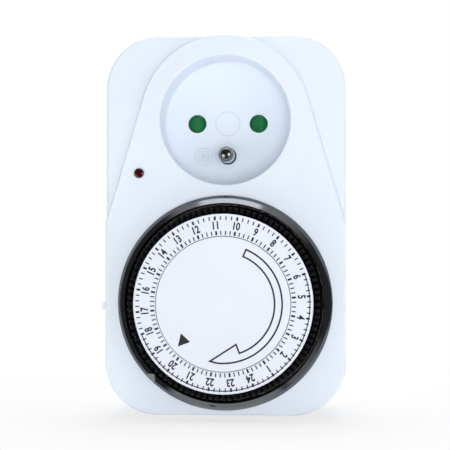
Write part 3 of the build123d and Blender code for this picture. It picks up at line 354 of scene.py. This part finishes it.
# ---- Return spring of the shutter --------------------------------------------------------
def add_return_spring():
    """The shutter's spring as a piece with its own copy of the CAD spring's mesh, riding on the casing, with
    the CAD spring hidden.
    """
    shown = bpy.data.objects.new("return_spring", frame["nodes"]["shutter_spring"].data.copy())
    bpy.context.scene.collection.objects.link(shown)
    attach(shown, "casing")
    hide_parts("shutter_spring")
    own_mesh(shown)


# ---- Printing on the dial ----------------------------------------------------------------
print_rise = 0.02 * mm  # in front of the dial's face
print_sink = 0.02 * mm  # behind it
hour_ten = 9.6  # degrees clockwise from the top, of the hour 10
hour_step = 15.0  # degrees
quarter_ticks = 4  # to the hour
inner_ticks = (20.2 * mm, 21.4 * mm)  # radii
outer_ticks = (24.6 * mm, 25.7 * mm)
digit_base = 21.9 * mm  # radius
digit_height = 2.35 * mm
digit_narrowing = 0.78  # of the letters' width
digit_weight = 0.032  # added to the strokes, in letter heights
hour_line = 0.58 * mm
quarter_line = 0.34 * mm
night_radius = 25.4 * mm
night_line = 0.3 * mm
night_start, night_end = 18, 6  # hours that the night arc spans
mitre_floor = 0.35  # keeps the mitre at a sharp corner short


def clockwise(angle, radius):
    """The (x, z) point at an angle clockwise from the dial's top."""
    turn = radians(angle)
    return dial_x + radius * sin(turn), dial_z + radius * cos(turn)


def hour_angle(hour):
    """The hour's place, in degrees clockwise from the dial's top."""
    return hour_ten - hour_step * (hour - 10)


def add_strip(mesh, left, right, closed=False):
    """A thin raised strip between two rows of (x, z) points on the dial's face."""
    heights = (dial_face - print_rise, dial_face + print_sink)
    rows = [[mesh.verts.new((x, y, z)) for x, z in row] for y in heights for row in (left, right)]
    front_left, front_right, back_left, back_right = rows
    count = len(left)
    for i in range(count if closed else count - 1):
        j = (i + 1) % count
        mesh.faces.new((front_left[i], front_right[i], front_right[j], front_left[j]))
        mesh.faces.new((back_left[j], back_right[j], back_right[i], back_left[i]))
        mesh.faces.new((front_left[j], back_left[j], back_left[i], front_left[i]))
        mesh.faces.new((front_right[i], back_right[i], back_right[j], front_right[j]))
    if not closed:
        mesh.faces.new((front_left[0], back_left[0], back_right[0], front_right[0]))
        mesh.faces.new((front_right[-1], back_right[-1], back_left[-1], front_left[-1]))


def add_tick(mesh, angle, inner, outer, line):
    """A radial tick of an even width."""
    half_x, half_z = line / 2 * cos(radians(angle)), -line / 2 * sin(radians(angle))
    ends = [clockwise(angle, radius) for radius in (inner, outer)]
    add_strip(mesh, [(x - half_x, z - half_z) for x, z in ends], [(x + half_x, z + half_z) for x, z in ends])


def add_arc(mesh, start, end, radius, line, step=1.5):
    """An arc line drawn clockwise between two angles."""
    count = max(2, round(abs(end - start) / step) + 1)
    angles = [start + (end - start) * i / (count - 1) for i in range(count)]
    add_strip(mesh, [clockwise(a, radius + line / 2) for a in angles],
              [clockwise(a, radius - line / 2) for a in angles])


def add_outline(mesh, points, line):
    """A closed line of an even width through the points, with mitred corners."""
    left, right = [], []
    count = len(points)
    for i, (x, z) in enumerate(points):
        before_x, before_z = points[i - 1]
        after_x, after_z = points[(i + 1) % count]
        into = Vector((x - before_x, z - before_z)).normalized()
        out = Vector((after_x - x, after_z - z)).normalized()
        normal = (Vector((-into.y, into.x)) + Vector((-out.y, out.x))).normalized()
        reach = line / 2 / max(mitre_floor, normal.dot(Vector((-out.y, out.x))))
        left.append((x + normal.x * reach, z + normal.y * reach))
        right.append((x - normal.x * reach, z - normal.y * reach))
    add_strip(mesh, left, right, closed=True)


def add_patch(mesh, points):
    """A thin raised patch with the outline of the (x, z) points."""
    front = [mesh.verts.new((x, dial_face - print_rise, z)) for x, z in points]
    back = [mesh.verts.new((x, dial_face + print_sink, z)) for x, z in points]
    mesh.faces.new(front)
    mesh.faces.new(list(reversed(back)))
    for i in range(len(points)):
        mesh.faces.new((front[i], back[i], back[i - 1], front[i - 1]))


def piece(mesh, name, made, body):
    """Turn a mesh into a piece that rides on a body."""
    bmesh.ops.recalc_face_normals(mesh, faces=mesh.faces)
    data = bpy.data.meshes.new(name)
    mesh.to_mesh(data)
    mesh.free()
    data.materials.append(made)
    shown = bpy.data.objects.new(name, data)
    bpy.context.scene.collection.objects.link(shown)
    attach(shown, body)
    return shown


def digit_mesh(text):
    """A number as a closed flat mesh, one letter size high, centred on its own width."""
    curve = bpy.data.curves.new("digits", "FONT")
    curve.body = text
    curve.align_x = "CENTER"
    curve.extrude = 0.5
    curve.resolution_u = 3
    curve.offset = digit_weight
    writing = bpy.data.objects.new("digits", curve)
    bpy.context.scene.collection.objects.link(writing)
    bpy.context.view_layer.update()
    flat = bpy.data.meshes.new_from_object(writing.evaluated_get(bpy.context.evaluated_depsgraph_get()))
    bpy.data.objects.remove(writing)
    bpy.data.curves.remove(curve)
    return flat


def add_digits(mesh, hour):
    """An hour's number, with its top outwards."""
    flat = digit_mesh(str(hour))
    foot = min(v.co.y for v in flat.vertices)
    scale = digit_height / (max(v.co.y for v in flat.vertices) - foot)
    turn = radians(hour_angle(hour))
    base_x, base_z = clockwise(hour_angle(hour), digit_base)
    for v in flat.vertices:
        across = v.co.x * scale * digit_narrowing
        up = (v.co.y - foot) * scale
        depth = dial_face - print_rise if v.co.z > 0 else dial_face + print_sink
        v.co = (base_x + across * cos(turn) + up * sin(turn), depth,
                base_z - across * sin(turn) + up * cos(turn))
    mesh.from_mesh(flat)
    bpy.data.meshes.remove(flat)


def add_printing():
    """Hours, ticks and the night arc on the turning ring."""
    ticks = bmesh.new()
    for quarter in range(24 * quarter_ticks):
        angle = hour_angle(quarter / quarter_ticks)
        line = quarter_line if quarter % quarter_ticks else hour_line
        add_tick(ticks, angle, *inner_ticks, line)
        add_tick(ticks, angle, *outer_ticks, line)
    night_span = (night_end - night_start) % 24 * hour_step
    add_arc(ticks, hour_angle(night_end), hour_angle(night_end) + night_span, night_radius, night_line)
    piece(ticks, "dial_ticks", ink, "dial")
    digits = bmesh.new()
    for hour in range(1, 25):
        add_digits(digits, hour)
    piece(digits, "dial_numbers", ink, "dial")


# ---- Printing on the fixed centre disc ---------------------------------------------------
# angles are in degrees clockwise from the top, and corners are (angle, radius) pairs
arrow_line = 0.5 * mm
arrow_outer_radius = 17.3 * mm
arrow_inner_radius = 15.1 * mm
arrow_start = 23.0
arrow_outer_end = 186.0
arrow_inner_end = 161.4
arrow_barb = (162.0, 12.4 * mm)
arrow_tip = (192.8, 17.1 * mm)
pointer_corners = [(226.7, 18.1 * mm), (235.2, 15.0 * mm), (220.9, 14.65 * mm)]


def add_disc_printing():
    """The curved arrow that shows which way the dial turns, and the pointer to the present time."""
    steps = 48
    outer = [clockwise(arrow_start + (arrow_outer_end - arrow_start) * i / steps, arrow_outer_radius)
             for i in range(steps + 1)]
    inner = [clockwise(arrow_inner_end + (arrow_start - arrow_inner_end) * i / steps, arrow_inner_radius)
             for i in range(steps + 1)]
    arrow = bmesh.new()
    add_outline(arrow, [*outer, clockwise(*arrow_tip), clockwise(*arrow_barb), *inner], arrow_line)
    piece(arrow, "direction_arrow", ink_grey, "casing")
    pointer = bmesh.new()
    add_patch(pointer, [clockwise(*corner) for corner in pointer_corners])
    piece(pointer, "time_pointer", ink_grey, "casing")


# ---- Stage: floor, world and lamps -------------------------------------------------------
floor_half = 6.0  # from the middle to each edge
floor_drop = 0.4 * mm  # below the casing
shadow_fade = (0.11, 0.19)  # distances over which the shaded floor turns plain white
least_white = 0.7  # share of plain white in the floor beside the object
ambient_level = 0.32
studio_dark = (0.05, 0.05, 0.05)
# what gloss shows, by fades that go from nothing to full; the two stretches of floor are a white glow that
# only gloss sees, painted reflections on the glossy parts
under_fades = ((-0.025, -0.018), (0.0255, 0.0185))  # in x, of the floor under the casing
beside_fades = ((0.023, 0.028), (0.1, 0.03))  # in x, of the floor to its lower right
beside_share = 0.6
front_fade = (-0.13, -0.09)  # in y, of both stretches of floor
above_fades = ((0.5, 0.95), (-0.66, -0.5), (-0.35, -0.18))  # in z, x and y, of the white above
behind_fade = (0.4, 0.6)  # in y, of the white behind


def straight_view(light):
    """The light path's outputs for rays from the camera, direct and through glass."""
    return light.outputs["Is Camera Ray"], light.outputs["Is Transmission Ray"]


def product(tree, first, *others):
    """The values multiplied together."""
    total = first
    for other in others:
        total = combine(tree, "MULTIPLY", total, other)
    return total


def blended(tree, factor, first, second):
    """A mix of two shaders, by a factor from the first to the second."""
    node = tree.nodes.new("ShaderNodeMixShader")
    tree.links.new(factor, node.inputs["Fac"])
    tree.links.new(first, node.inputs[1])
    tree.links.new(second, node.inputs[2])
    return node.outputs["Shader"]


def glow(tree, kind, colour, strength=1.0):
    """The output of an emission or background shader of an even colour."""
    node = tree.nodes.new(kind)
    node.inputs["Color"].default_value = (*colour, 1.0)
    node.inputs["Strength"].default_value = strength
    return node.outputs[0]


def add_floor():
    """A wide pale floor just under the casing, which keeps the object's shadow."""
    floor_z = cad_low.z - floor_drop
    mesh = bmesh.new()
    mesh.faces.new([mesh.verts.new((x * floor_half, y * floor_half, floor_z))
                    for x, y in ((-1, -1), (1, -1), (1, 1), (-1, 1))])
    data = bpy.data.meshes.new("floor")
    mesh.to_mesh(data)
    mesh.free()
    made, tree, shader = new_material("floor_white")
    shader.inputs["Base Color"].default_value = (0.95, 0.95, 0.95, 1.0)
    shader.inputs["Roughness"].default_value = 0.9
    shader.inputs["Specular IOR Level"].default_value = 0.0
    white = glow(tree, "ShaderNodeEmission", (1.0, 1.0, 1.0))
    light = tree.nodes.new("ShaderNodeLightPath")
    # near the object the floor shows its shadow, and farther off it is as white as the background
    distance = tree.nodes.new("ShaderNodeVectorMath")
    distance.operation = "LENGTH"
    tree.links.new(place(tree), distance.inputs[0])
    far = fade(tree, distance.outputs["Value"], *shadow_fade)
    share = combine(tree, "ADD", product(tree, far, 1 - least_white), least_white)
    background = combine(tree, "MAXIMUM", *straight_view(light))
    seen = blended(tree, product(tree, background, share), shader.outputs["BSDF"], white)
    # for gloss the floor glows white under the casing and to its lower right, a painted reflection on the
    # glossy parts, and past it gloss sees through the floor to the dark studio
    x, y, _ = axes(tree, place(tree))
    under = product(tree, *(fade(tree, x, *ends) for ends in under_fades))
    beside = product(tree, *(fade(tree, x, *ends) for ends in beside_fades), beside_share)
    glow_patches = product(tree, combine(tree, "ADD", under, beside), fade(tree, y, *front_fade))
    through = tree.nodes.new("ShaderNodeBsdfTransparent")
    mirrored = blended(tree, glow_patches, through.outputs["BSDF"], white)
    tree.links.new(blended(tree, light.outputs["Is Glossy Ray"], seen, mirrored),
                   tree.nodes["Material Output"].inputs["Surface"])
    data.materials.append(made)
    floor = bpy.data.objects.new("floor", data)
    bpy.context.scene.collection.objects.link(floor)
    floor.visible_shadow = False


def set_world():
    """White background and soft light all round. Gloss shows a dark studio in front of the object,
    and white behind it and straight above it."""
    world = bpy.data.worlds.new("studio")
    bpy.context.scene.world = world
    world.use_nodes = True
    tree = world.node_tree
    tree.nodes.clear()
    light = tree.nodes.new("ShaderNodeLightPath")
    x, y, z = axes(tree, tree.nodes.new("ShaderNodeTexCoord").outputs["Generated"])
    above = product(tree, *(fade(tree, axis, *ends) for axis, ends in zip((z, x, y), above_fades)))
    bright = combine(tree, "MAXIMUM", above, fade(tree, y, *behind_fade))
    white = glow(tree, "ShaderNodeBackground", (1.0, 1.0, 1.0))
    dark = glow(tree, "ShaderNodeBackground", studio_dark)
    ambient = glow(tree, "ShaderNodeBackground", (0.98, 0.99, 1.0), ambient_level)
    studio = blended(tree, light.outputs["Is Glossy Ray"], ambient, blended(tree, bright, dark, white))
    background = combine(tree, "MAXIMUM", *straight_view(light))
    output = tree.nodes.new("ShaderNodeOutputWorld")
    tree.links.new(blended(tree, background, studio, white), output.inputs["Surface"])


def add_lamp(name, azimuth, elevation, distance, size, level, tint=(1, 1, 1), mirrored=True):
    """A soft round lamp that looks at the object's middle. Azimuth is from the front towards +X.
    The level is the share of a full light level that it gives a face turned towards it."""
    middle = (cad_low + cad_high) / 2
    a, e = radians(azimuth), radians(elevation)
    way = Vector((sin(a) * cos(e), -cos(a) * cos(e), sin(e)))
    data = bpy.data.lights.new(name, "AREA")
    data.shape = "DISK"
    data.size = size
    data.energy = level * (pi * distance) ** 2
    data.color = tint
    lamp = bpy.data.objects.new(name, data)
    lamp.location = middle + way * distance
    lamp.rotation_euler = (-way).to_track_quat("-Z", "Y").to_euler()
    lamp.visible_glossy = mirrored
    bpy.context.scene.collection.objects.link(lamp)


def add_lamps():
    """Soft lamps all round. Gloss doesn't show the front and back ones."""
    add_lamp("lamp_left", -35, -20, 0.6, 0.45, 0.25, tint=(0.97, 1.0, 1.0))
    add_lamp("lamp_right", 42, -4, 0.6, 0.45, 0.25, tint=(1.0, 0.985, 1.0))
    add_lamp("lamp_above", -8, 97, 0.6, 0.5, 0.6)
    add_lamp("lamp_front", 4, -4, 1.1, 0.5, 0.41, mirrored=False)
    add_lamp("lamp_back", 180, 25, 0.9, 0.6, 0.48, mirrored=False)


add_camera()
dress_nodes()
add_return_spring()
add_printing()
add_disc_printing()
add_floor()
set_world()
add_lamps()
bpy.context.scene.view_settings.view_transform = "Standard"
